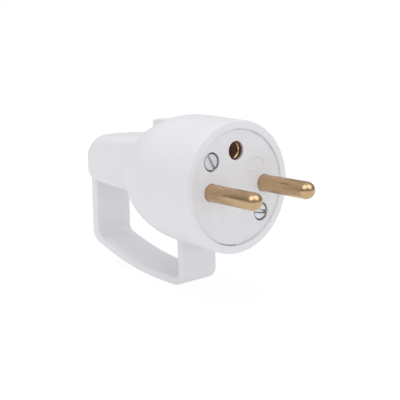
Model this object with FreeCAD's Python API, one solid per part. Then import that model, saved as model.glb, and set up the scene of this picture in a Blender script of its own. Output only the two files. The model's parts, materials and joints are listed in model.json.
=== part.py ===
"""Two-pole plug with a female earth contact and a moulded pull handle.

X runs along the line of the pins, Y rearwards along the plug's axis and Z upwards, in millimetres.
The origin is the middle of the carrier's face, between the two pins, which point to -Y.
"""
import FreeCAD
import Part
import math
import os

V = FreeCAD.Vector
AXIS = V(0, 1, 0)
UP = V(0, 0, 1)

# Pins and earth contact, at the sizes that a mating socket needs
PIN_DIAMETER = 4.8
PIN_REACH = 19.3
PIN_SPACING = 19.0
PIN_ROOT_STEP = 0.25
PIN_ROOT_LENGTH = 0.5
EARTH_BORE = 4.9
EARTH_MOUTH_STEP = 0.2
EARTH_HEIGHT = 10.2

# Carrier: the round face that holds the pins
CARRIER_DIAMETER = 32.1
CARRIER_THICKNESS = 3.5
CARRIER_EDGE = 0.3
CARRIER_GAP = 0.12
PIN_COLLAR_DIAMETER = 5.8
PIN_COLLAR_ROUNDING = 0.15

# Bell: the round body of the cover
RIM_DIAMETER = 37.0
RIM_ROUNDING = 0.7
RIM_DEPTH = 0.55
BELL_DIAMETER = 37.0
BELL_LIFT = 0.3
SHOULDER_START = 17.05
SHOULDER_RADIUS = 33.0
BELL_WALL = 2.3

# Tail: the hollow grip behind the bell, which the cord leaves at its rear end
TAIL_ROOT = 25.0
TAIL_END = 65.0
TAIL_NOSE_RUN = 15.0
TAIL_WIDTHS = (20.8, 19.2, 17.0)
TAIL_TOPS = (12.2, 10.8, 9.4)
TAIL_BOTTOM = -4.9
TAIL_UPPER_ROUNDINGS = (4.4, 4.6, 8.3)
TAIL_LOWER_ROUNDINGS = (2.2, 2.2, 4.6)
TAIL_NOSE = 4.4
TAIL_WALL = 2.0
TAIL_END_WALL = 2.6
OUTLET_DIAMETER = 9.0
OUTLET_LIP = 0.5

# Pull handle: a flat strap from the bell to the tail's end
STRAP_WIDTH = 12.9
STRAP_ROUNDING = 0.5
FRONT_LEG_FRONT = 17.6
FRONT_LEG_THICKNESS = 2.2
REAR_LEG_THICKNESS = 3.2
REAR_LEG_INSET = 0.75
REAR_LEG_LEAN = 1.0
BAR_LOWEST = -31.2
BAR_LOWEST_AT = 26.15
BAR_ARC = 114.0
BAR_THICKNESS = 2.4
FRONT_CORNER = 4.3
REAR_CORNER = 4.0
INNER_CORNER = 2.0

# Lug on top of the shoulder
LUG_WIDTH = 3.0
LUG_END = 36.1
LUG_TOP = 16.6
LUG_LENGTH = 9.0
LUG_LEAN = 0.3
LUG_CROWN = 0.35
LUG_ROUNDING = 0.5

# Screws that hold the carrier to the cover
SCREW_RADIUS_OUT = 11.87
SCREW_ANGLE = 136.9
SCREW_DIAMETER = 3.0
SCREW_LENGTH = 12.0
SCREW_HEAD = 4.8
SCREW_HEAD_HEIGHT = 1.9
SCREW_SINK = 0.35
SCREW_SLOT = 1.0
SLOT_SHARE = 0.4
HEAD_ROUNDING_SHARE = 0.2
SCREW_TURNS = {"upper": -61.5, "lower": -13.0}
HEAD_CLEARANCE = 0.25
SHANK_CLEARANCE = 0.2
BOSS_DIAMETER = 6.4
BOSS_END = 30.0
BOSS_BORE_SPARE = 1.0
NUT_DIAMETER = 4.6
NUT_LENGTH = 7.0
NUT_SINK = 0.3

# Ribs inside the bell, on which the carrier's edge seats
RIB_COUNT = 6
RIB_THICKNESS = 1.4
RIB_HEIGHT = 0.9
RIB_END = 24.0
RIBS_AT_BOSSES = (0, 3)

# Terminal block: the rear half of the carrier, which traps the collars of the contacts
COLLAR_THICKNESS = 1.5
COLLAR_STEP = 0.6
EARTH_COLLAR_STEP = 1.2
PAD_WALL = 1.0
BLOCK_THICKNESS = 2.5
BLOCK_MARGIN = 0.25
BARRIER_THICKNESS = 1.4
BARRIER_END = 20.0
BARRIER_FOOT = -3.0
BARRIER_CLEARANCE = 0.3
BARRIER_ARM = 5.0
BARRIER_ARM_ANGLE = 40.0

# Terminals
TERMINAL_DIAMETER = 6.0
TERMINAL_END = 17.0
WIRE_HOLE = 3.2
WIRE_HOLE_DEPTH = 8.5
TERMINAL_SCREW = 2.9
TERMINAL_SCREW_BACK = 4.0
TERMINAL_HEAD = 4.8
TERMINAL_HEAD_HEIGHT = 1.6
TERMINAL_SCREW_LIFT = 0.9
TERMINAL_CHAMFER = 0.4
EARTH_WALL = 0.75
EARTH_MOUTH_LEDGE = 0.8
EARTH_CONTACT_END = 15.0
EARTH_END = 22.0
EARTH_SLIT = 0.8
EARTH_SLIT_STOP = 1.0
SPRING_WIRE = 0.8
SPRING_PLACE = 10.5
SPRING_GAP_ANGLE = 50.0
SPRING_GROOVE_DEPTH = 0.2

# Cord grip, turned to lie between the two cover screws
GRIP_TURN = -45.0
GRIP_START = 22.0
GRIP_LENGTH = 8.0
GRIP_SPAN = 20.4
GRIP_FLOOR_TOP = -6.0
GRIP_FLOOR_THICKNESS = 2.0
GRIP_FLOOR_ARM = 10.5
GRIP_ARM_INSET = 1.0
GRIP_POST_SPACING = 15.6
GRIP_POST_DIAMETER = 5.0
GRIP_POST_TOP = -2.0
CORD_DIAMETER = 8.6
BRIDGE_THICKNESS = 2.0
BRIDGE_INSET = 0.5
BRIDGE_ROUNDING = 1.75
TOOTH_HEIGHT = 0.8
TOOTH_WIDTH = 1.0
TOOTH_INSET = 1.5
TOOTH_ROOT = 0.5
GRIP_SCREW = 2.8
GRIP_SCREW_HEAD = 5.0
GRIP_SCREW_HEAD_HEIGHT = 1.8
GRIP_SCREW_LENGTH = 12.0

# Screws that join the terminal block to the carrier
JOIN_X = 7.6
JOIN_Z = 8.6
JOIN_SCREW = 2.2
JOIN_HEAD = 4.2
JOIN_HEAD_HEIGHT = 1.5
JOIN_SKIN = 1.0
JOIN_SCREW_STOP = 0.5
JOIN_PILLAR = 5.0

# Clearances: round a fixed piece, and round one that passes through
FIT = 0.05
PASS = 0.1

# How far a cutter runs past what it cuts, and how near an edge must be to be picked
OVER = 1.0
NEAR = 0.01

# Worked out from the sizes above
pin_x = PIN_SPACING / 2
pin_root = PIN_DIAMETER / 2 + PIN_ROOT_STEP
bore = CARRIER_DIAMETER / 2 + CARRIER_GAP
collar_back = CARRIER_THICKNESS + COLLAR_THICKNESS
block_back = collar_back + BLOCK_THICKNESS
rib_radius = bore - RIB_HEIGHT
screw_x = SCREW_RADIUS_OUT * math.cos(math.radians(SCREW_ANGLE))
screw_z = SCREW_RADIUS_OUT * math.sin(math.radians(SCREW_ANGLE))
screw_places = {"upper": (screw_x, screw_z), "lower": (-screw_x, -screw_z)}
earth_radius = EARTH_BORE / 2 + EARTH_WALL
collar_radius = TERMINAL_DIAMETER / 2 + COLLAR_STEP
earth_collar_radius = earth_radius + EARTH_COLLAR_STEP
spring_radius = earth_radius - SPRING_GROOVE_DEPTH + SPRING_WIRE / 2 + FIT
spring_outside = spring_radius + SPRING_WIRE / 2
barrier_fork = EARTH_HEIGHT - (spring_outside + BARRIER_CLEARANCE + BARRIER_THICKNESS / 2) / math.cos(
    math.radians(BARRIER_ARM_ANGLE))
head_floor = SCREW_SINK + SCREW_HEAD_HEIGHT
outlet_z = (TAIL_BOTTOM + TAIL_TOPS[-1]) / 2
bridge_under = GRIP_FLOOR_TOP + CORD_DIAMETER
terminal_screw_y = TERMINAL_END - TERMINAL_SCREW_BACK
earth_screw_y = EARTH_END - TERMINAL_SCREW_BACK


def rod(diameter, start, end, x=0.0, z=0.0):
    """A cylinder along Y between two stations."""
    return Part.makeCylinder(diameter / 2, end - start, V(x, start, z), AXIS)


def block(x0, x1, y0, y1, z0, z1):
    """A box between two opposite corners."""
    return Part.makeBox(x1 - x0, y1 - y0, z1 - z0, V(x0, y0, z0))


def turned(edges):
    """The solid swept by a closed outline, drawn in X and Y, as it turns about the plug's axis."""
    face = Part.Face(Part.Wire(edges))
    return face.revolve(V(0, 0, 0), AXIS, 360)


def side_prism(edges, width):
    """The solid of an outline drawn in Y and Z, spread evenly about the middle plane."""
    face = Part.Face(Part.Wire(edges))
    face.translate(V(-width / 2, 0, 0))
    return face.extrude(V(width, 0, 0))


def polygon(points):
    """Edges that join the points in a closed ring."""
    return [Part.makeLine(a, b) for a, b in zip(points, points[1:] + points[:1])]


def fused(shapes):
    """One solid from several that meet, with the seams between like faces removed."""
    whole = shapes[0].multiFuse(shapes[1:])
    return whole.removeSplitter()


def shoulder_arc(start_radius, arc_radius):
    """The shoulder's outline, from where it leaves the straight wall to the plug's axis."""
    centre_x = start_radius - arc_radius
    end_y = SHOULDER_START + math.sqrt(arc_radius ** 2 - centre_x ** 2)
    half_turn = math.acos(-centre_x / arc_radius) / 2
    middle = V(centre_x + arc_radius * math.cos(half_turn),
               SHOULDER_START + arc_radius * math.sin(half_turn), 0)
    start = V(start_radius, SHOULDER_START, 0)
    end = V(0, end_y, 0)
    return Part.Arc(start, middle, end).toShape(), end


def ring(radius, y, z):
    """A circle across the plug's axis."""
    return Part.Wire(Part.makeCircle(radius, V(0, y, z), AXIS))


def bell_solid():
    """The bell's outside: a rounded rim, a wall that rises a little rearwards and a domed shoulder."""
    rim = rod(RIM_DIAMETER, -RIM_DEPTH, RIM_ROUNDING)
    rim = rim.makeFillet(RIM_ROUNDING, [e for e in rim.Edges if e.BoundBox.YMax < NEAR - RIM_DEPTH])
    wall = Part.makeLoft([ring(RIM_DIAMETER / 2, RIM_ROUNDING, 0),
                          ring(BELL_DIAMETER / 2, SHOULDER_START, BELL_LIFT)], True, True)
    arc, end = shoulder_arc(BELL_DIAMETER / 2, SHOULDER_RADIUS)
    middle = V(0, SHOULDER_START, 0)
    shoulder = turned([Part.makeLine(middle, V(BELL_DIAMETER / 2, SHOULDER_START, 0)),
                       arc, Part.makeLine(end, middle)])
    shoulder.translate(UP * BELL_LIFT)
    return fused([rim, wall, shoulder])


def bell_core(extra=0.0):
    """The space inside the bell, made larger by an extra thickness where it is asked for."""
    radius = bore + extra
    front = -RIM_DEPTH - OVER
    arc, end = shoulder_arc(radius, SHOULDER_RADIUS - BELL_WALL + extra)
    return turned([
        Part.makeLine(V(0, front, 0), V(radius, front, 0)),
        Part.makeLine(V(radius, front, 0), V(radius, SHOULDER_START, 0)),
        arc,
        Part.makeLine(end, V(0, front, 0)),
    ])


def tail_section(y, half_width, bottom, top, upper_rounding, lower_rounding):
    """One section across the tail: a rectangle with its upper and lower corners rounded apart."""
    edges = []
    points = []
    corners = ((-1, bottom, lower_rounding), (1, bottom, lower_rounding),
               (1, top, upper_rounding), (-1, top, upper_rounding))
    for number, (side, z, rounding) in enumerate(corners):
        inward_z = rounding if z == bottom else -rounding
        centre = V(side * (half_width - rounding), y, z + inward_z)
        on_flank = centre + V(side * rounding, 0, 0)
        on_flat = centre - V(0, 0, inward_z)
        middle = centre + V(side * rounding, 0, -inward_z) * math.sqrt(0.5)
        start, end = (on_flank, on_flat) if number % 2 == 0 else (on_flat, on_flank)
        edges.append(Part.Arc(start, middle, end).toShape())
        points.append((start, end))
    lines = [Part.makeLine(points[n][1], points[(n + 1) % 4][0]) for n in range(4)]
    return Part.Wire([edge for pair in zip(edges, lines) for edge in pair])


def tail_solid(inset=0.0):
    """The tail's outside, or the hollow in it where it is drawn in by the inset."""
    stations = (TAIL_ROOT, TAIL_END - TAIL_NOSE_RUN, TAIL_END)
    sections = [
        tail_section(y, width / 2 - inset, TAIL_BOTTOM + inset, top - inset,
                     upper - inset, max(lower - inset, lower / 4))
        for y, width, top, upper, lower in zip(
            stations, TAIL_WIDTHS, TAIL_TOPS, TAIL_UPPER_ROUNDINGS, TAIL_LOWER_ROUNDINGS)
    ]
    return Part.makeLoft(sections, True, False)


def tail_outside():
    """The tail with its rear end rounded all round."""
    tail = tail_solid()
    return tail.makeFillet(TAIL_NOSE, [e for e in tail.Edges if e.BoundBox.YMin > TAIL_END - NEAR])


def bar_arc(offset, start_y, end_y):
    """An arc along the handle's bar, lifted from its outside by the offset."""
    radius = BAR_ARC - offset
    centre_z = BAR_LOWEST + BAR_ARC

    def point(y):
        return V(0, y, centre_z - math.sqrt(radius ** 2 - (y - BAR_LOWEST_AT) ** 2))

    start = point(start_y)
    end = point(end_y)
    return Part.Arc(start, point((start_y + end_y) / 2), end).toShape(), start, end


def strap_prism(front, rear, offset, top, corners, width):
    """The solid inside one outline of the strap, with its two lower corners rounded."""
    arc, start, end = bar_arc(offset, front, rear + REAR_LEG_LEAN)
    solid = side_prism([
        arc,
        Part.makeLine(end, V(0, rear, top)),
        Part.makeLine(V(0, rear, top), V(0, front, top)),
        Part.makeLine(V(0, front, top), start),
    ], width)
    for corner, radius in zip((start, end), corners):
        edges = [e for e in solid.Edges
                 if abs(e.CenterOfMass.y - corner.y) < NEAR and abs(e.CenterOfMass.z - corner.z) < NEAR]
        solid = solid.makeFillet(radius, edges)
    return solid


def handle_solid():
    """The flat strap, with soft long edges, up to the bell and to the tail."""
    top = TAIL_BOTTOM + TAIL_NOSE
    rear = TAIL_END - REAR_LEG_INSET
    outer = strap_prism(FRONT_LEG_FRONT, rear, 0, top, (FRONT_CORNER, REAR_CORNER), STRAP_WIDTH)
    inner = strap_prism(FRONT_LEG_FRONT + FRONT_LEG_THICKNESS, rear - REAR_LEG_THICKNESS,
                        BAR_THICKNESS, top + OVER, (INNER_CORNER, INNER_CORNER), STRAP_WIDTH + 2 * OVER)
    strap = outer.cut(inner)
    long_edges = [e for e in strap.Edges
                  if abs(abs(e.CenterOfMass.x) - STRAP_WIDTH / 2) < NEAR
                  and e.BoundBox.XLength < NEAR and e.CenterOfMass.z < top - NEAR]
    return strap.makeFillet(STRAP_ROUNDING, long_edges)


def lug_solid():
    """The small lug that stands on top of the shoulder."""
    foot = TAIL_TOPS[1] - TAIL_WALL / 2
    start = V(0, LUG_END - LUG_LENGTH, LUG_TOP)
    end = V(0, LUG_END, LUG_TOP - LUG_CROWN)
    middle = V(0, LUG_END - LUG_LENGTH / 2, LUG_TOP + LUG_CROWN / 2)
    low_end = V(0, LUG_END - LUG_LEAN, foot)
    low_start = V(0, LUG_END - LUG_LENGTH, foot)
    lug = side_prism([
        Part.Arc(start, middle, end).toShape(),
        Part.makeLine(end, low_end),
        Part.makeLine(low_end, low_start),
        Part.makeLine(low_start, start),
    ], LUG_WIDTH)
    outer_edges = [e for e in lug.Edges
                   if e.CenterOfMass.y > start.y + NEAR and e.CenterOfMass.z > foot + NEAR]
    return lug.makeFillet(LUG_ROUNDING, outer_edges)


def rib(angle, inner_radius):
    """One upright inside the bell, running out into its wall."""
    plate = block(inner_radius, BELL_DIAMETER, CARRIER_THICKNESS, RIB_END,
                  -RIB_THICKNESS / 2, RIB_THICKNESS / 2)
    plate.rotate(V(0, 0, 0), AXIS, -angle)
    return plate


def cover():
    """Bell, tail, handle and lug, moulded in one piece and open at the front."""
    outside = fused([
        bell_solid(),
        tail_outside(),
        handle_solid(),
        lug_solid(),
    ])
    rear_limit = block(-BELL_DIAMETER, BELL_DIAMETER, 0, TAIL_END - TAIL_END_WALL,
                       -BELL_DIAMETER, BELL_DIAMETER)
    tail_core = tail_solid(TAIL_WALL).common(rear_limit)
    shell = outside.cut(bell_core().fuse(tail_core))
    inner_limit = bell_core(BELL_WALL / 2)
    uprights = []
    for number in range(RIB_COUNT):
        angle = SCREW_ANGLE + number * 360 / RIB_COUNT
        uprights.append(rib(angle, SCREW_RADIUS_OUT if number in RIBS_AT_BOSSES else rib_radius))
    for x, z in screw_places.values():
        uprights.append(rod(BOSS_DIAMETER, CARRIER_THICKNESS, BOSS_END, x, z))
    shell = fused([shell] + [upright.common(inner_limit) for upright in uprights])
    for x, z in screw_places.values():
        nut_end = CARRIER_THICKNESS + NUT_SINK + NUT_LENGTH
        shell = shell.cut(rod(NUT_DIAMETER + 2 * FIT, CARRIER_THICKNESS - OVER, nut_end, x, z))
        shell = shell.cut(rod(SCREW_DIAMETER + 2 * SHANK_CLEARANCE, nut_end - OVER,
                              head_floor + SCREW_LENGTH + BOSS_BORE_SPARE, x, z))
    hole = rod(OUTLET_DIAMETER, TAIL_END - TAIL_END_WALL - OVER, TAIL_END + OVER, 0, outlet_z)
    lip = Part.makeCone(OUTLET_DIAMETER / 2, OUTLET_DIAMETER / 2 + 2 * OUTLET_LIP, 2 * OUTLET_LIP,
                        V(0, TAIL_END - OUTLET_LIP, outlet_z), AXIS)
    return shell.cut(hole.fuse(lip))


def pin_hole(x):
    """The hole for a pin: narrow in front, so that the pin's root seats in it from behind."""
    seat = Part.makeCone(PIN_DIAMETER / 2 + FIT, pin_root + FIT, PIN_ROOT_LENGTH, V(x, -RIM_DEPTH, 0), AXIS)
    return seat.fuse(rod(2 * (pin_root + FIT), PIN_ROOT_LENGTH - RIM_DEPTH, collar_back, x))


def pin_carrier():
    """The round face, with a low collar round each pin and pads behind for the contacts."""
    disc = rod(CARRIER_DIAMETER, 0, CARRIER_THICKNESS)
    disc = disc.makeFillet(CARRIER_EDGE, [e for e in disc.Edges if e.BoundBox.YMax < NEAR])
    pads = []
    for side in (-1, 1):
        collar = rod(PIN_COLLAR_DIAMETER, -RIM_DEPTH, OVER, side * pin_x)
        front_edges = [e for e in collar.Edges if e.BoundBox.YMax < NEAR - RIM_DEPTH]
        pads.append(collar.makeFillet(PIN_COLLAR_ROUNDING, front_edges))
        pads.append(rod(2 * (collar_radius + FIT + PAD_WALL), CARRIER_THICKNESS, collar_back, side * pin_x))
        pads.append(rod(JOIN_PILLAR, CARRIER_THICKNESS, collar_back, side * JOIN_X, side * JOIN_Z))
    pads.append(rod(2 * (earth_collar_radius + FIT + PAD_WALL), CARRIER_THICKNESS, collar_back,
                    0, EARTH_HEIGHT))
    holes = []
    for side in (-1, 1):
        holes.append(pin_hole(side * pin_x))
        holes.append(rod(2 * (collar_radius + FIT), CARRIER_THICKNESS, collar_back + OVER, side * pin_x))
        holes.append(rod(JOIN_SCREW + 2 * FIT, JOIN_SKIN, collar_back + OVER, side * JOIN_X, side * JOIN_Z))
    holes.append(rod(EARTH_BORE + 2 * EARTH_MOUTH_STEP, -OVER, CARRIER_THICKNESS, 0, EARTH_HEIGHT))
    holes.append(rod(2 * (earth_radius + FIT), EARTH_MOUTH_LEDGE, collar_back, 0, EARTH_HEIGHT))
    holes.append(rod(2 * (earth_collar_radius + FIT), CARRIER_THICKNESS, collar_back + OVER,
                     0, EARTH_HEIGHT))
    for x, z in screw_places.values():
        holes.append(rod(SCREW_HEAD + 2 * HEAD_CLEARANCE, -OVER, head_floor, x, z))
        holes.append(rod(SCREW_DIAMETER + 2 * SHANK_CLEARANCE, -OVER, CARRIER_THICKNESS + OVER, x, z))
    return fused([disc] + pads).cut(Part.makeCompound(holes))


def in_grip_frame(shape):
    """Turn a shape of the cord grip from upright to where it lies between the cover screws."""
    shape.rotate(V(0, 0, 0), AXIS, GRIP_TURN)
    return shape


def grip_saddle():
    """The lower half of the cord grip, with the arm that joins it to the terminal block."""
    floor = block(-GRIP_SPAN / 2, GRIP_SPAN / 2, GRIP_START, GRIP_START + GRIP_LENGTH,
                  GRIP_FLOOR_TOP - GRIP_FLOOR_THICKNESS, GRIP_FLOOR_TOP)
    arm = block(-GRIP_SPAN / 2 + GRIP_ARM_INSET, -GRIP_SPAN / 2 + GRIP_ARM_INSET + GRIP_FLOOR_ARM,
                block_back - OVER, GRIP_START + OVER,
                GRIP_FLOOR_TOP - GRIP_FLOOR_THICKNESS, GRIP_FLOOR_TOP)
    posts = []
    bores = []
    for side in (-1, 1):
        place = V(side * GRIP_POST_SPACING / 2, GRIP_START + GRIP_LENGTH / 2,
                  GRIP_FLOOR_TOP - GRIP_FLOOR_THICKNESS)
        height = GRIP_POST_TOP - place.z
        posts.append(Part.makeCylinder(GRIP_POST_DIAMETER / 2, height, place, UP))
        bores.append(Part.makeCylinder(GRIP_SCREW / 2 + FIT, height + 2 * OVER, place - UP * OVER, UP))
    teeth = [block(-CORD_DIAMETER / 2, CORD_DIAMETER / 2, y, y + TOOTH_WIDTH,
                   GRIP_FLOOR_TOP - TOOTH_ROOT, GRIP_FLOOR_TOP + TOOTH_HEIGHT)
             for y in (GRIP_START + TOOTH_INSET, GRIP_START + GRIP_LENGTH - TOOTH_INSET - TOOTH_WIDTH)]
    saddle = fused([floor, arm] + posts + teeth).cut(Part.makeCompound(bores))
    return in_grip_frame(saddle)


def terminal_block():
    """The plate behind the collars, with walls between the terminals and the cord grip's saddle."""
    plate = rod(2 * (rib_radius - BLOCK_MARGIN), collar_back, block_back)
    walls = [block(-BARRIER_THICKNESS / 2, BARRIER_THICKNESS / 2, block_back - OVER, BARRIER_END,
                   BARRIER_FOOT, barrier_fork + BARRIER_THICKNESS / 2)]
    for angle in (BARRIER_ARM_ANGLE, 180 - BARRIER_ARM_ANGLE):
        arm = block(0, BARRIER_ARM, block_back - OVER, BARRIER_END,
                    -BARRIER_THICKNESS / 2, BARRIER_THICKNESS / 2)
        arm.rotate(V(0, 0, 0), AXIS, -angle)
        arm.translate(V(0, 0, barrier_fork))
        walls.append(arm)
    body = fused([plate] + walls + [grip_saddle()])
    holes = [rod(TERMINAL_DIAMETER + 2 * PASS, collar_back - OVER, block_back + OVER, side * pin_x, 0)
             for side in (-1, 1)]
    holes.append(rod(2 * (earth_radius + PASS), collar_back - OVER, block_back + OVER, 0, EARTH_HEIGHT))
    for side in (-1, 1):
        holes.append(rod(JOIN_SCREW + 2 * SHANK_CLEARANCE, collar_back - OVER, block_back + OVER,
                         side * JOIN_X, side * JOIN_Z))
    clear = BOSS_DIAMETER / 2 + 2 * BLOCK_MARGIN
    for x, z in screw_places.values():
        notch = block(0, BELL_DIAMETER, collar_back - OVER, block_back + OVER, -clear, clear)
        notch.rotate(V(0, 0, 0), AXIS, -math.degrees(math.atan2(z, x)))
        notch.translate(V(x, 0, z))
        holes.append(notch.fuse(rod(2 * clear, collar_back - OVER, block_back + OVER, x, z)))
    return body.cut(Part.makeCompound(holes))


def contact_pin(side):
    """A solid pin with a bullet tip, a collar and a screw terminal behind it."""
    radius = PIN_DIAMETER / 2
    shank = rod(PIN_DIAMETER, radius - PIN_REACH, -RIM_DEPTH, side * pin_x, 0)
    taper = Part.makeCone(radius, pin_root, PIN_ROOT_LENGTH, V(side * pin_x, -RIM_DEPTH, 0), AXIS)
    root = rod(2 * pin_root, PIN_ROOT_LENGTH - RIM_DEPTH, CARRIER_THICKNESS, side * pin_x, 0)
    tip = Part.makeSphere(radius, V(side * pin_x, radius - PIN_REACH, 0))
    collar = rod(2 * collar_radius, CARRIER_THICKNESS, collar_back, side * pin_x, 0)
    terminal = rod(TERMINAL_DIAMETER, collar_back, TERMINAL_END, side * pin_x, 0)
    rear_edges = [e for e in terminal.Edges if e.BoundBox.YMin > TERMINAL_END - NEAR]
    terminal = terminal.makeChamfer(TERMINAL_CHAMFER, rear_edges)
    wire_hole = rod(WIRE_HOLE, TERMINAL_END - WIRE_HOLE_DEPTH, TERMINAL_END + OVER, side * pin_x, 0)
    thread = Part.makeCylinder(TERMINAL_SCREW / 2 + FIT, TERMINAL_DIAMETER,
                               V(side * pin_x, terminal_screw_y, 0), V(0, 0, side))
    return fused([shank, tip, taper, root, collar, terminal]).cut(wire_hole).cut(thread)


def earth_socket():
    """A slit brass tube for the socket's earth pin, with a collar and a screw terminal."""
    outer = rod(2 * earth_radius, EARTH_MOUTH_LEDGE, EARTH_END, 0, EARTH_HEIGHT)
    collar = rod(2 * earth_collar_radius, CARRIER_THICKNESS, collar_back, 0, EARTH_HEIGHT)
    hollow = rod(EARTH_BORE, EARTH_MOUTH_LEDGE - OVER, EARTH_CONTACT_END, 0, EARTH_HEIGHT)
    wire_hole = rod(WIRE_HOLE, EARTH_CONTACT_END - OVER, EARTH_END + OVER, 0, EARTH_HEIGHT)
    slit = block(-EARTH_SLIT / 2, EARTH_SLIT / 2,
                 EARTH_MOUTH_LEDGE - OVER, EARTH_CONTACT_END - EARTH_SLIT_STOP,
                 EARTH_HEIGHT - earth_collar_radius - OVER, EARTH_HEIGHT)
    thread = Part.makeCylinder(TERMINAL_SCREW / 2 + FIT, TERMINAL_DIAMETER,
                               V(0, earth_screw_y, EARTH_HEIGHT), V(1, 0, 0))
    groove = rod(2 * (earth_radius + OVER), SPRING_PLACE - SPRING_WIRE / 2, SPRING_PLACE + SPRING_WIRE / 2,
                 0, EARTH_HEIGHT).cut(rod(2 * (earth_radius - SPRING_GROOVE_DEPTH),
                                          SPRING_PLACE - SPRING_WIRE, SPRING_PLACE + SPRING_WIRE,
                                          0, EARTH_HEIGHT))
    return fused([outer, collar]).cut(hollow.fuse(wire_hole)).cut(slit).cut(thread).cut(groove)


def earth_spring():
    """The open wire ring that keeps the slit tube closed on the earth pin."""
    ring = Part.makeTorus(spring_radius, SPRING_WIRE / 2 - FIT, V(0, SPRING_PLACE, EARTH_HEIGHT), AXIS)
    reach = 2 * spring_radius
    half = math.radians(SPRING_GAP_ANGLE / 2)
    wedge = Part.Face(Part.Wire(polygon([
        V(0, SPRING_PLACE - SPRING_WIRE, EARTH_HEIGHT),
        V(-reach * math.sin(half), SPRING_PLACE - SPRING_WIRE, EARTH_HEIGHT - reach * math.cos(half)),
        V(reach * math.sin(half), SPRING_PLACE - SPRING_WIRE, EARTH_HEIGHT - reach * math.cos(half))])))
    return ring.cut(wedge.extrude(V(0, 2 * SPRING_WIRE, 0)))


def slotted_screw(diameter, length, head, head_height, base, direction, slot_angle=0.0):
    """A screw whose head seats at the base, with its shank along the direction."""
    shank = Part.makeCylinder(diameter / 2, length, base, direction)
    top = Part.makeCylinder(head / 2, head_height, base, -direction)
    rim = [e for e in top.Edges
           if (e.CenterOfMass - base).dot(direction) < -head_height + NEAR]
    top = top.makeFillet(head_height * HEAD_ROUNDING_SHARE, rim)
    depth = head_height * SLOT_SHARE
    slot = Part.makeBox(head + 2 * OVER, SCREW_SLOT, depth + OVER,
                        V(-head / 2 - OVER, -SCREW_SLOT / 2, head_height - depth))
    slot.rotate(V(0, 0, 0), UP, slot_angle)
    slot.Placement = FreeCAD.Placement(base, FreeCAD.Rotation(UP, -direction)).multiply(slot.Placement)
    return shank.fuse(top).cut(slot)


def grip_bridge():
    """The strap that presses the cord onto the saddle."""
    start = GRIP_START + BRIDGE_INSET
    end = GRIP_START + GRIP_LENGTH - BRIDGE_INSET
    strap = block(-GRIP_SPAN / 2, GRIP_SPAN / 2, start, end, bridge_under, bridge_under + BRIDGE_THICKNESS)
    upright = [e for e in strap.Edges if e.BoundBox.ZLength > BRIDGE_THICKNESS - NEAR]
    strap = strap.makeFillet(BRIDGE_ROUNDING, upright)
    tooth = block(-CORD_DIAMETER / 2, CORD_DIAMETER / 2, (start + end - TOOTH_WIDTH) / 2,
                  (start + end + TOOTH_WIDTH) / 2, bridge_under - TOOTH_HEIGHT, bridge_under + TOOTH_ROOT)
    strap = strap.fuse(tooth)
    for side in (-1, 1):
        strap = strap.cut(Part.makeCylinder(
            GRIP_SCREW / 2 + SHANK_CLEARANCE, BRIDGE_THICKNESS + 2 * OVER,
            V(side * GRIP_POST_SPACING / 2, (start + end) / 2, bridge_under - OVER), UP))
    return in_grip_frame(strap)


def grip_screw(side):
    """One of the two screws that draw the bridge down."""
    base = V(side * GRIP_POST_SPACING / 2, GRIP_START + GRIP_LENGTH / 2, bridge_under + BRIDGE_THICKNESS)
    return in_grip_frame(slotted_screw(GRIP_SCREW, GRIP_SCREW_LENGTH, GRIP_SCREW_HEAD,
                                       GRIP_SCREW_HEAD_HEIGHT, base, -UP))


def cover_nut(x, z):
    """A threaded brass insert in the front of one of the cover's bosses."""
    start = CARRIER_THICKNESS + NUT_SINK
    nut = rod(NUT_DIAMETER, start, start + NUT_LENGTH, x, z)
    return nut.cut(rod(SCREW_DIAMETER + 2 * FIT, start - OVER, start + NUT_LENGTH + OVER, x, z))


def all_parts():
    """Every piece of the plug by its name."""
    parts = {
        "cover": cover(),
        "pin_carrier": pin_carrier(),
        "terminal_block": terminal_block(),
        "live_pin": contact_pin(-1),
        "neutral_pin": contact_pin(1),
        "earth_socket": earth_socket(),
        "earth_spring": earth_spring(),
        "cord_grip_bridge": grip_bridge(),
    }
    lift = TERMINAL_DIAMETER / 2 + TERMINAL_SCREW_LIFT
    for name, side in (("live_terminal_screw", -1), ("neutral_terminal_screw", 1)):
        parts[name] = slotted_screw(TERMINAL_SCREW, lift - WIRE_HOLE / 4, TERMINAL_HEAD, TERMINAL_HEAD_HEIGHT,
                                    V(side * pin_x, terminal_screw_y, side * lift), V(0, 0, -side))
    lift = earth_radius + TERMINAL_SCREW_LIFT
    parts["earth_terminal_screw"] = slotted_screw(
        TERMINAL_SCREW, lift - WIRE_HOLE / 4, TERMINAL_HEAD, TERMINAL_HEAD_HEIGHT,
        V(lift, earth_screw_y, EARTH_HEIGHT), V(-1, 0, 0))
    for name, side in (("cord_grip_screw_left", -1), ("cord_grip_screw_right", 1)):
        parts[name] = grip_screw(side)
    for place, (x, z) in screw_places.items():
        parts["cover_screw_" + place] = slotted_screw(
            SCREW_DIAMETER, SCREW_LENGTH, SCREW_HEAD, SCREW_HEAD_HEIGHT, V(x, head_floor, z), AXIS,
            SCREW_TURNS[place])
        parts["cover_nut_" + place] = cover_nut(x, z)
    for name, side in (("block_screw_lower", -1), ("block_screw_upper", 1)):
        parts[name] = slotted_screw(JOIN_SCREW, block_back - JOIN_SKIN - JOIN_SCREW_STOP,
                                    JOIN_HEAD, JOIN_HEAD_HEIGHT,
                                    V(side * JOIN_X, block_back, side * JOIN_Z), -AXIS)
    return parts


os.makedirs("parts", exist_ok=True)
for name, shape in all_parts().items():
    shape.exportStep(os.path.join("parts", name + ".step"))
    print(name, shape.ShapeType, len(shape.Solids), round(shape.Volume, 1), shape.isValid())
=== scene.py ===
"""White two-pole plug with a pull handle: its finishes, the small trim on its face, light and camera."""
import json
import math
import bpy
import bmesh
from mathutils import Matrix, Vector


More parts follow.
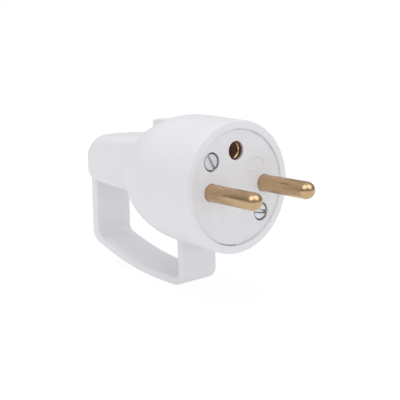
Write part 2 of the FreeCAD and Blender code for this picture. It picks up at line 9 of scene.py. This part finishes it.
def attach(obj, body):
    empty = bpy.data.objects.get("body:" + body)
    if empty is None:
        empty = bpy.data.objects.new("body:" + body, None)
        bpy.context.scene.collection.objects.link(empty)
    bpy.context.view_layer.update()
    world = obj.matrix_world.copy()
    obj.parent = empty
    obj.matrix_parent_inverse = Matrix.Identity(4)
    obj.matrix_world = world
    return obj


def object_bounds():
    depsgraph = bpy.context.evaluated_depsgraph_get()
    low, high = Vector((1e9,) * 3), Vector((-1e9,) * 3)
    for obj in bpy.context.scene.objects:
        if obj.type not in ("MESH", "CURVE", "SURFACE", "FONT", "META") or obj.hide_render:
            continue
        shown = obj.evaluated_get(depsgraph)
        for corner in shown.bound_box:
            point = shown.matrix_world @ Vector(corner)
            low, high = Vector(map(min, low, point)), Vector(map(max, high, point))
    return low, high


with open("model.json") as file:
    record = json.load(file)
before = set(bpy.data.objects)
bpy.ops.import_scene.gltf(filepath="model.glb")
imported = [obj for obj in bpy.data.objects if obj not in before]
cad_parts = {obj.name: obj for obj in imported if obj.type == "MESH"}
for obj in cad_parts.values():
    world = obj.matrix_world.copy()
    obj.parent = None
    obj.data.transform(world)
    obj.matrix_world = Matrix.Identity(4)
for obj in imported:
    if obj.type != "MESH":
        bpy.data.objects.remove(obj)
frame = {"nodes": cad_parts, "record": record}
cad_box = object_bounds()

MM = 0.001

# Places on the face, in millimetres along X and Z. A screw also has the turn of its slot in degrees.
EARTH_HOLE = (0.0, 10.2)
SCREWS = {"upper": ((-8.667, 8.110), -61.5), "lower": ((8.667, -8.110), -13.0)}

# Degrees on each side of the middle that a screw's slot and the earth tube's slit leave open.
HALF_SLOT = 14.0
HALF_EARTH_SLIT = 9.4

# In millimetres: half the length of a slot's edge, and the radii of the face's seat and of its cove.
SLOT_EDGE_REACH = 2.03
SEAT_RADIUS, COVE_RADIUS = 16.17, 0.47

# The photograph's camera: degrees, metres, and pixels of a picture 400 wide.
PICTURE = 400.0
CAMERA_TURN, CAMERA_LIFT, CAMERA_ROLL = -38.747, 11.868, -1.978
CAMERA_DEPTH = 0.241446
FOCAL = 884.147
SHOWN_X, SHOWN_Y = 237.048, 187.462
SENSOR = 36.0

# The directions from the plug to the two bright patches and to the dark corner of the room.
BRIGHT_PATCHES = ((-0.595, -0.155, 0.789), (0.225, -0.625, 0.748))
DARK_CORNER = (-0.70, 0.70, 0.05)

WHITE = (1.0, 1.0, 1.0, 1.0)


def paint(red, green, blue):
    """A colour with full alpha."""
    return (red, green, blue, 1.0)


class Wire:
    """An output of a shader node. Python's operators on it add Math nodes."""

    def __init__(self, finish, socket):
        self.finish = finish
        self.socket = socket

    def maths(self, operation, first, second, clamp=False):
        return self.finish.node("ShaderNodeMath", {"operation": operation, "use_clamp": clamp},
                                {0: first, 1: second})

    def __add__(self, other):
        return self.maths("ADD", self, other)

    def __sub__(self, other):
        return self.maths("SUBTRACT", self, other)

    def __mul__(self, other):
        return self.maths("MULTIPLY", self, other)

    def __pow__(self, other):
        return self.maths("POWER", self, other)

    def clamped(self):
        return self.maths("ADD", self, 0.0, clamp=True)


class Finish:
    """A material or world being built from nodes."""

    def __init__(self, owner):
        owner.use_nodes = True
        self.owner = owner
        self.tree = owner.node_tree
        self.tree.nodes.clear()

    def node(self, kind, settings=None, inputs=None, output=0):
        """Add a node: its settings first, then the values or links of its sockets."""
        made = self.tree.nodes.new(kind)
        for name, value in (settings or {}).items():
            setattr(made, name, value)
        for name, value in (inputs or {}).items():
            if isinstance(value, Wire):
                self.tree.links.new(value.socket, made.inputs[name])
            else:
                made.inputs[name].default_value = value
        return Wire(self, made.outputs[output]) if made.outputs else None

    def place(self):
        """Where a point is on the plug, in metres."""
        return self.node("ShaderNodeTexCoord", output="Object")

    def noise(self, scale, detail=3.0, roughness=0.5, where=None):
        """Smooth noise from 0 to 1 with features of about 1/scale metres."""
        return self.node("ShaderNodeTexNoise", {"noise_dimensions": "3D"}, {
            "Vector": where or self.place(), "Scale": scale, "Detail": detail, "Roughness": roughness})

    def blend(self, factor, first, second):
        """A mix of two colours."""
        return self.node("ShaderNodeMix", {"data_type": "RGBA"}, {0: factor, 6: first, 7: second}, output=2)

    def bump(self, height, depth, under=None):
        """A normal bent by a height of the given depth in metres."""
        inputs = {"Height": height, "Strength": 1.0, "Distance": depth}
        if under is not None:
            inputs["Normal"] = under
        return self.node("ShaderNodeBump", None, inputs)

    def surface(self, shader):
        """Make a shader the surface of the material, and give the material back."""
        self.node("ShaderNodeOutputMaterial", None, {"Surface": shader})
        return self.owner


def new_finish(name):
    return Finish(bpy.data.materials.new(name))


def moulded_white(name, colour, shade, roughness, grain_depth, flow_scale, flow_depth):
    """White moulded plastic: a fine grain, slow flow marks and a slightly uneven gloss."""
    finish = new_finish(name)
    flow = finish.noise(flow_scale, 4.0, 0.55)
    grain = finish.noise(2600.0, 2.0, 0.5)
    scuff = finish.noise(240.0, 5.0, 0.6)
    tone = (flow * 1.6 - 0.3).clamped()
    uneven = finish.bump(flow, flow_depth)
    normal = finish.bump(grain, grain_depth, uneven)
    return finish.surface(finish.node("ShaderNodeBsdfPrincipled", None, {
        "Base Color": finish.blend(tone, shade, colour),
        "Roughness": scuff * 0.16 + (roughness - 0.08),
        "Normal": normal,
        "IOR": 1.5,
    }))


def turned_brass(name, gloss, warm, worn, polished, metallic=1.0):
    """Drawn and turned brass: fine rings across the pin, long soft streaks and a little tarnish."""
    finish = new_finish(name)
    where = finish.place()
    rings = finish.node("ShaderNodeMapping", {"vector_type": "POINT"}, {
        "Vector": where, "Scale": (0.15, 9.0, 0.15)})
    streaks = finish.node("ShaderNodeMapping", {"vector_type": "POINT"}, {
        "Vector": where, "Scale": (1.0, 0.08, 1.0)})
    turning = finish.noise(900.0, 3.0, 0.6, rings)
    drawn = finish.noise(1500.0, 3.0, 0.55, streaks)
    tarnish = finish.noise(210.0, 5.0, 0.62)
    mottle = (tarnish * 2.4 - 0.7).clamped()
    bright = (drawn * 1.8 - 0.4).clamped()
    colour = finish.blend(mottle * 0.6, warm, worn)
    colour = finish.blend(bright * 0.35, colour, polished)
    normal = finish.bump(turning, 0.00001)
    normal = finish.bump(drawn, 0.000004, normal)
    return finish.surface(finish.node("ShaderNodeBsdfPrincipled", None, {
        "Base Color": colour,
        "Metallic": metallic,
        "Roughness": tarnish * 0.16 + gloss,
        "Normal": normal,
    }))


def plated_zinc(name, colour, dull):
    """Zinc plate: crystalline patches that differ a little in tone and gloss."""
    finish = new_finish(name)
    patches = finish.node("ShaderNodeTexVoronoi", {"feature": "F1"}, {
        "Vector": finish.place(), "Scale": 2600.0}, output="Color")
    patch = finish.node("ShaderNodeSeparateColor", None, {"Color": patches})
    cloud = finish.noise(900.0, 4.0, 0.6)
    normal = finish.bump(cloud, 0.000008)
    return finish.surface(finish.node("ShaderNodeBsdfPrincipled", None, {
        "Base Color": finish.blend((patch * 0.5 + cloud * 0.5).clamped(), dull, colour),
        "Metallic": 1.0,
        "Roughness": cloud * 0.25 + 0.24,
        "Normal": normal,
    }))


def give_finish(names, material):
    """Put one finish on every material slot of some of the plug's pieces."""
    for name in names:
        for slot in frame["nodes"][name].material_slots:
            slot.material = material


def swept_trim(name, sections, closed, material):
    """Trim from cross-sections in millimetres, joined in order into a loop or capped at both ends."""
    mesh = bmesh.new()
    rows = [[mesh.verts.new(Vector(point) * MM) for point in section] for section in sections]
    for row, following in zip(rows, rows[1:] + rows[:1] if closed else rows[1:]):
        for place in range(len(row)):
            beside = (place + 1) % len(row)
            mesh.faces.new((row[place], row[beside], following[beside], following[place]))
    if not closed:
        mesh.faces.new(rows[0])
        mesh.faces.new(rows[-1])
    bmesh.ops.recalc_face_normals(mesh, faces=mesh.faces)
    data = bpy.data.meshes.new(name)
    mesh.to_mesh(data)
    mesh.free()
    piece = bpy.data.objects.new(name, data)
    bpy.context.scene.collection.objects.link(piece)
    data.materials.append(material)
    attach(piece, "root")
    return piece


def raised_band(name, outline, half_width, height, material):
    """A band moulded on the face: a low rounded ridge that follows a closed outline in X and Z."""
    half_profile = ((1.0, 0.02), (0.85, -0.12 * height), (0.55, -0.75 * height), (0.2, -height))
    profile = [(-share * half_width, y) for share, y in half_profile]
    profile += [(share * half_width, y) for share, y in reversed(half_profile)]
    sections = []
    for number, (x, z) in enumerate(outline):
        before = Vector(outline[number - 1])
        after = Vector(outline[(number + 1) % len(outline)])
        along = (after - before).normalized()
        sections.append([(x + along.y * offset, y, z - along.x * offset) for offset, y in profile])
    piece = swept_trim(name, sections, True, material)
    for face in piece.data.polygons:
        face.use_smooth = True


def open_ring(name, centre, profile, start, end, material, count=72, sink=0.0):
    """A part ring turned from a profile of radius and Y round a centre in X and Z; its ends may sink."""
    sections = []
    for number in range(count + 1):
        share = number / count
        angle = math.radians(start + (end - start) * share)
        across, up = math.cos(angle), math.sin(angle)
        # The first and last fifth slope down to the sink's full depth.
        depth = sink * (1.0 - min(1.0, 5.0 * share, 5.0 * (1.0 - share)))
        sections.append([(centre[0] + radius * across, y + depth, centre[1] + radius * up)
                         for radius, y in profile])
    swept_trim(name, sections, False, material)


def slot_edge(name, centre, turn, side, material):
    """The edge on one side of a screw's slot: a strip on the head that turns down the slot's wall."""
    profile = ((0.45, 1.06), (0.45, 0.37), (0.49, 0.335), (0.60, 0.335), (0.64, 0.36), (0.64, 0.5),
               (0.52, 0.6), (0.52, 1.06))
    along = Vector((math.cos(math.radians(turn)), math.sin(math.radians(turn))))
    across = Vector((-along.y, along.x)) * side
    sections = [[(centre[0] + along.x * reach + across.x * offset, y,
                  centre[1] + along.y * reach + across.y * offset) for offset, y in profile]
                for reach in (-SLOT_EDGE_REACH, SLOT_EDGE_REACH)]
    swept_trim(name, sections, False, material)


def oval(centre_x, centre_z, half_x, half_z, count=72):
    """Points round an oval."""
    return [(centre_x + half_x * math.cos(2 * math.pi * n / count),
             centre_z + half_z * math.sin(2 * math.pi * n / count)) for n in range(count)]


def place_camera():
    """The photograph's view: where the camera stands and how far it rolls."""
    turn, lift, roll = (math.radians(angle) for angle in (CAMERA_TURN, CAMERA_LIFT, CAMERA_ROLL))
    back = Vector((math.sin(turn) * math.cos(lift), -math.cos(turn) * math.cos(lift), math.sin(lift)))
    level_right = (-back).cross(Vector((0, 0, 1))).normalized()
    level_up = level_right.cross(-back)
    right = level_right * math.cos(roll) + level_up * math.sin(roll)
    up = level_up * math.cos(roll) - level_right * math.sin(roll)
    data = bpy.data.cameras.new("photo_view")
    data.sensor_width = SENSOR
    data.lens = FOCAL * SENSOR / PICTURE
    data.clip_start = 0.01
    data.clip_end = 20.0
    camera = bpy.data.objects.new("photo_view", data)
    bpy.context.scene.collection.objects.link(camera)
    across = (SHOWN_X - PICTURE / 2) / FOCAL * CAMERA_DEPTH
    down = (SHOWN_Y - PICTURE / 2) / FOCAL * CAMERA_DEPTH
    turned = Matrix((right, up, back)).transposed()
    place = back * CAMERA_DEPTH - right * across + up * down
    camera.matrix_world = Matrix.Translation(place) @ turned.to_4x4()
    bpy.context.scene.camera = camera


def make_floor(lowest):
    """A plain pale floor that shows as white and keeps the plug's shadow."""
    finish = new_finish("pale_floor")
    path = {name: finish.node("ShaderNodeLightPath", output=name)
            for name in ("Is Camera Ray", "Is Glossy Ray", "Is Transmission Ray")}
    seen = path["Is Camera Ray"] + path["Is Glossy Ray"] + path["Is Transmission Ray"]
    plain = finish.node("ShaderNodeBsdfDiffuse", None, {"Color": paint(0.90, 0.90, 0.90)})
    glow = finish.node("ShaderNodeEmission", None, {"Color": WHITE, "Strength": 1.03})
    # Nearly all glow where it is looked at or mirrored, a third where it only lights the plug.
    finish.surface(finish.node("ShaderNodeMixShader", None, {0: seen * 0.56 + 0.32, 1: plain, 2: glow}))
    data = bpy.data.meshes.new("floor")
    reach = 6.0
    corners = [(-reach, -reach), (reach, -reach), (reach, reach), (-reach, reach)]
    data.from_pydata([(x, y, lowest) for x, y in corners], [], [(0, 1, 2, 3)])
    floor = bpy.data.objects.new("floor", data)
    bpy.context.scene.collection.objects.link(floor)
    data.materials.append(finish.owner)


def soft_lamp(name, aim, distance, size, energy):
    """A round lamp that shines on the plug from the direction of its aim and isn't mirrored in the metal."""
    data = bpy.data.lights.new(name, "AREA")
    data.shape = "DISK"
    data.size = size
    data.energy = energy
    lamp = bpy.data.objects.new(name, data)
    bpy.context.scene.collection.objects.link(lamp)
    lamp.location = Vector(aim).normalized() * distance
    lamp.rotation_mode = "QUATERNION"
    lamp.rotation_quaternion = Vector(aim).to_track_quat("Z", "Y")
    lamp.visible_glossy = False


def light_room():
    """An even white room. The metal mirrors it as dim round the horizon, with two bright patches."""
    world = bpy.data.worlds.new("white_room")
    bpy.context.scene.world = world
    finish = Finish(world)
    towards = finish.node("ShaderNodeTexCoord", output="Generated")

    def towards_share(direction):
        """How nearly a ray points in a direction: 1 along it, 0 across it."""
        return finish.node("ShaderNodeVectorMath", {"operation": "DOT_PRODUCT"}, {
            0: towards, 1: direction}, output="Value")

    camera_ray, glossy_ray, transmission_ray = (
        finish.node("ShaderNodeLightPath", output=name)
        for name in ("Is Camera Ray", "Is Glossy Ray", "Is Transmission Ray"))
    seen, lit, shade, dim, ceiling, patch = (
        finish.node("ShaderNodeBackground", None, {"Color": WHITE, "Strength": strength})
        for strength in (1.0, 0.91, 0.17, 0.25, 0.76, 2.2))

    def mixed(factor, first, second):
        """One background passing into another."""
        return finish.node("ShaderNodeMixShader", None, {0: factor, 1: first, 2: second})

    room = mixed(towards_share(DARK_CORNER).clamped() ** 9.0, lit, shade)
    # The mirrored room grows brighter from 5 degrees up to straight overhead.
    mirrored = mixed((towards_share((0.0, 0.0, 1.0)) * 1.1 - 0.1).clamped(), dim, ceiling)
    # A bright patch is full within 17 degrees of its middle and ends at 32.
    for direction in BRIGHT_PATCHES:
        mirrored = mixed((towards_share(direction) * 9.0 - 7.6).clamped(), mirrored, patch)
    shown = mixed(camera_ray + transmission_ray, mixed(glossy_ray, room, mirrored), seen)
    finish.node("ShaderNodeOutputWorld", None, {"Surface": shown})
    soft_lamp("overhead_soft", (-0.05, 0.35, 1.0), 0.9, 0.9, 2.5)
    soft_lamp("front_fill", (0.10, -1.0, 0.0), 0.9, 0.30, 0.36)


shell_white = moulded_white("satin_white_shell", paint(0.785, 0.780, 0.815), paint(0.765, 0.760, 0.795),
                            0.42, 0.000004, 70.0, 0.00003)
insert_white = moulded_white("matt_white_insert", paint(0.790, 0.787, 0.822), paint(0.715, 0.712, 0.745),
                             0.52, 0.000005, 230.0, 0.00003)
brass = turned_brass("turned_brass", 0.19, paint(0.585, 0.405, 0.237), paint(0.46, 0.305, 0.168),
                     paint(0.69, 0.49, 0.285))
earth_brass = turned_brass("dull_tube_brass", 0.35, paint(0.58, 0.38, 0.30), paint(0.47, 0.30, 0.235),
                           paint(0.66, 0.46, 0.33), 0.45)
# Brass painted dark: painted shade for the wall just inside the earth tube's mouth.
painted_shade_brass = turned_brass("painted_shade_tube_brass", 0.40, paint(0.21, 0.14, 0.11), paint(0.16, 0.11, 0.085),
                           paint(0.25, 0.17, 0.125), 0.60)
zinc = plated_zinc("zinc_plate", paint(0.80, 0.815, 0.86), paint(0.66, 0.675, 0.715))
# Zinc painted dark: painted shade round the screw heads and along the lower screw's slot.
painted_shade_zinc = plated_zinc("painted_shade_screw_edge", paint(0.27, 0.28, 0.31), paint(0.19, 0.20, 0.22))
worn_edge = plated_zinc("worn_slot_edge", paint(0.82, 0.85, 0.92), paint(0.72, 0.74, 0.80))
spring_wire = plated_zinc("spring_wire", paint(0.55, 0.55, 0.56), paint(0.42, 0.42, 0.43))

by_slot = {"white_shell": shell_white, "white_insert": insert_white, "pin_brass": brass,
           "screw_zinc": zinc, "spring_steel": spring_wire}
for part in frame["record"]["subparts"]:
    give_finish([part["node"]], by_slot[part["material_slot"]])
give_finish(["earth_socket"], earth_brass)

# The plain oval moulded on the face.
raised_band("oval_mark", oval(6.65, 5.85, 3.35, 1.85), 0.36, 0.24, insert_white)
# The mouth of the earth tube: painted shade, a brass sheet painted dark behind the face where the wall lies
# in shade, then the sprung lip a little way in.
slit_from, slit_to = HALF_EARTH_SLIT - 90.0, 270.0 - HALF_EARTH_SLIT
open_ring("earth_mouth_painted_shade", EARTH_HOLE,
          ((2.64, 0.60), (2.58, 0.60), (2.56, 0.74), (2.41, 0.77), (2.41, 1.53), (2.44, 1.53), (2.44, 0.79),
           (2.64, 0.79)), slit_from, slit_to, painted_shade_brass)
open_ring("earth_tube_lip", EARTH_HOLE,
          ((2.50, 1.55), (2.44, 1.55), (2.15, 1.85), (2.15, 2.20), (2.44, 2.55), (2.50, 2.55)),
          slit_from, slit_to, brass)
# The gap between face and rim: a bead makes it shallow, and a cove closes it where they touch.
open_ring("face_seat_bead", (0.0, 0.0), ((16.02, 0.1), (16.2, 0.1), (16.2, 0.5), (16.02, 0.5)),
          -92.0, 84.0, insert_white)
cove = [(SEAT_RADIUS - COVE_RADIUS + COVE_RADIUS * math.sin(math.pi * step / 12),
         COVE_RADIUS * math.cos(math.pi * step / 12) - COVE_RADIUS) for step in range(7)]
open_ring("face_seat_cove", (0.0, 0.0),
          [(15.62, 0.03)] + cove + [(16.19, -COVE_RADIUS), (16.19, 0.4), (16.03, 0.4), (16.03, 0.08)],
          -78.0, 40.0, insert_white, sink=0.5)
# Painted shade: a dark ring on each screw head's rolled edge and in the gap round it, open where the slot
# crosses it. Also the slot's own edges: painted shade on the lower screw, worn zinc on the upper.
slot_finish = {"upper": worn_edge, "lower": painted_shade_zinc}
for which, (centre, turn) in SCREWS.items():
    for half in (0, 1):
        first = turn + 180.0 * half
        open_ring("screw_edge_%s_%d" % (which, half + 1), centre,
                  ((2.13, 0.345), (2.30, 0.325), (2.46, 0.42), (2.46, 0.60), (2.30, 0.60)),
                  first + HALF_SLOT, first + 180.0 - HALF_SLOT, painted_shade_zinc, 36)
        slot_edge("slot_edge_%s_%d" % (which, half + 1), centre, turn, 1 - 2 * half, slot_finish[which])

place_camera()
make_floor(cad_box[0].z - 0.00002)
light_room()

scene = bpy.context.scene
scene.view_settings.view_transform = "Standard"
